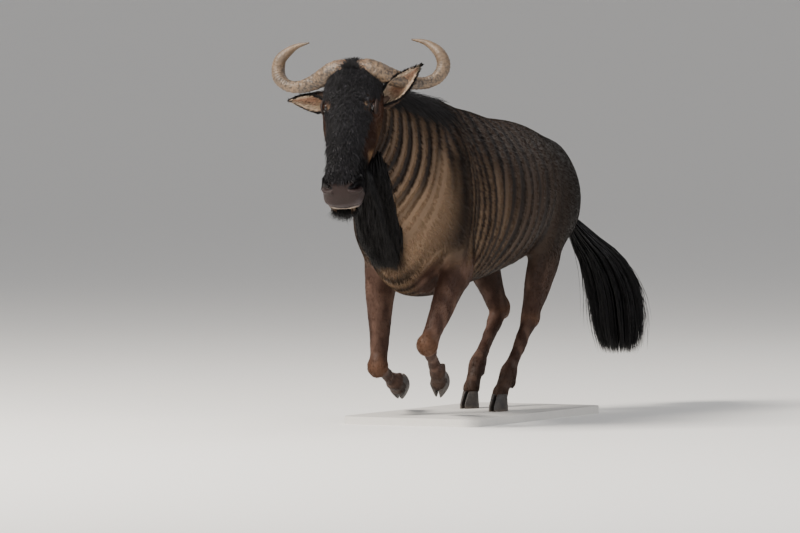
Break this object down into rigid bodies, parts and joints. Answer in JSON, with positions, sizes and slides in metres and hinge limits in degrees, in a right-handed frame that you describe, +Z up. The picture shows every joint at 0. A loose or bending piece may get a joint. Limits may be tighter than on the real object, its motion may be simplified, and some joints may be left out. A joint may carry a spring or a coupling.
{
  "type": "blue wildebeest",
  "caption": "Still, life-size model of a blue wildebeest bull cantering, both hind hooves down and both forelegs folded up, on a plain flat display base",
  "frame": {"origin": "middle of the part's box, at the underside of the display base", "axes": "+X along the trunk from the tail to the head, +Y to the animal's left, +Z up"},
  "size_m": [2.4216, 0.6762, 1.451],
  "materials": {
    "coat": "short grey-brown hair with dark bands, soft sheen",
    "face": "black hair, longer down the nose",
    "ear": "short brown hair, pale inside, black rim",
    "leg": "short reddish-brown hair",
    "hair": "long black hair",
    "eye": "wet, very dark brown",
    "horn": "dull horn, tan-grey flecked with dark",
    "hoof": "dull dark horn",
    "stand": "matte pale grey paint"
  },
  "bodies": {
    "root": {"torso": "coat", "neck": "coat", "head": "face", "eye_left": "eye", "horn_left": "horn", "ear_left": "ear", "eye_right": "eye", "horn_right": "horn", "ear_right": "ear", "fore_left_upper": "leg", "fore_left_lower": "leg", "fore_left_hoof_inner": "hoof", "fore_left_hoof_outer": "hoof", "fore_right_upper": "leg", "fore_right_lower": "leg", "fore_right_hoof_inner": "hoof", "fore_right_hoof_outer": "hoof", "hind_left_upper": "leg", "hind_left_lower": "leg", "hind_left_hoof_inner": "hoof", "hind_left_hoof_outer": "hoof", "hind_right_upper": "leg", "hind_right_lower": "leg", "hind_right_hoof_inner": "hoof", "hind_right_hoof_outer": "hoof", "tail_dock": "hair", "tail_tuft": "hair", "mane": "hair", "beard": "hair", "chin_tuft": "hair", "stand_base": "stand"}
  },
  "joints": []
}
